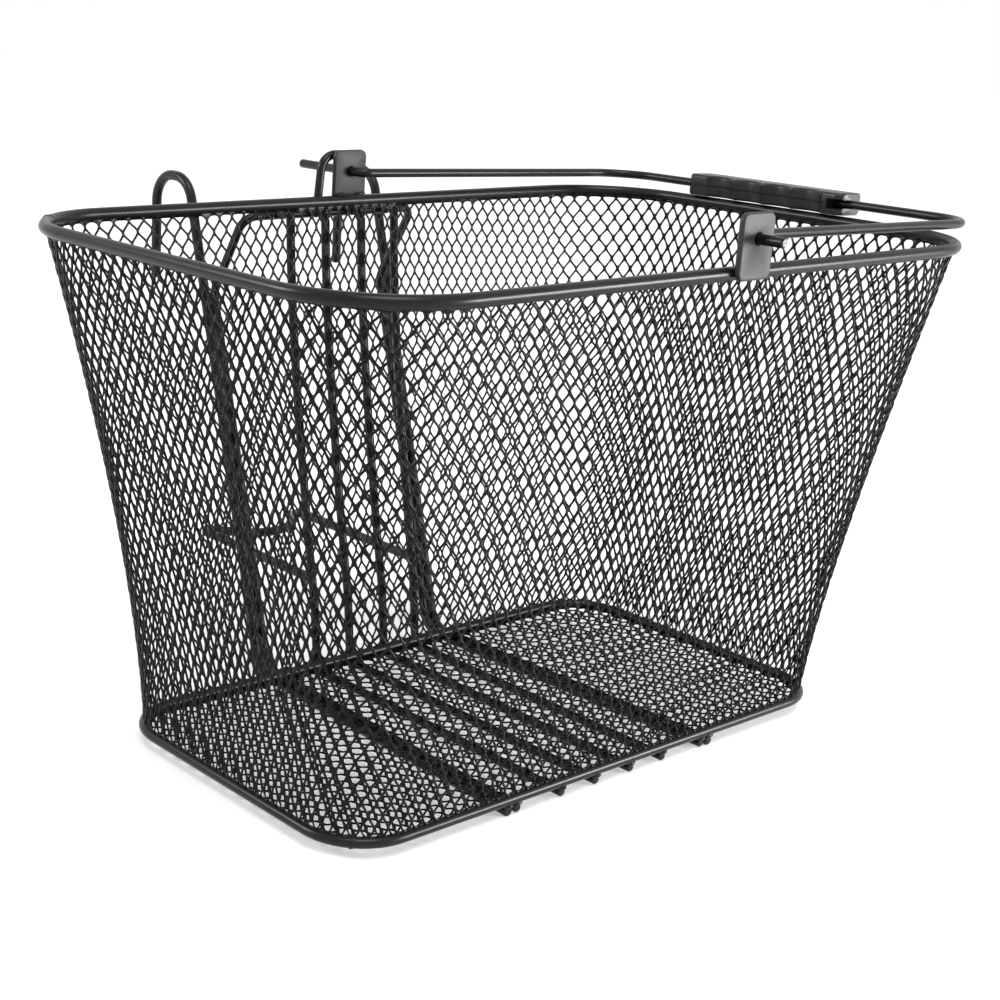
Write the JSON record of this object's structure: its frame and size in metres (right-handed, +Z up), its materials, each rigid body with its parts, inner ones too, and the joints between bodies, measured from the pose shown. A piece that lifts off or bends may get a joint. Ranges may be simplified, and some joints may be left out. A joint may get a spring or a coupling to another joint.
{
  "type": "bicycle basket",
  "caption": "Open mesh basket that lifts on and off a bicycle: it hangs on a handlebar by wire hooks, rests on the head tube, and has a folding wire bail with a moulded grip.",
  "frame": {"origin": "centre of the bounding box at its bottom, on the level of the floor wires' underside", "axes": "+Z up, X along the basket's long side, +Y towards the bicycle (the hooks' side)"},
  "size_m": [0.385, 0.3304, 0.2496],
  "materials": {
    "wire": "black gloss coating",
    "mesh": "black coating",
    "grip": "satin"
  },
  "bodies": {
    "basket": {"bottom_rim": "wire", "centre_loop": "wire", "floor_mesh": "mesh", "frame_bow": "wire", "front_mesh": "mesh", "front_tab": "wire", "head_tube_cradle": "wire", "left_hook": "wire", "left_mesh": "mesh", "left_rib": "wire", "rear_mesh": "mesh", "rear_tab": "wire", "right_hook": "wire", "right_mesh": "mesh", "right_rib": "wire", "top_rim": "wire"},
    "bail": {"bail": "wire", "grip": "grip"}
  },
  "joints": [
    {"name": "bail_hinge", "type": "hinge", "parent": "basket", "child": "bail", "pos_m": [0.0001, -0.03003, 0.23962], "axis": [0, -1, 0], "range_deg": [0, 183]}
  ]
}
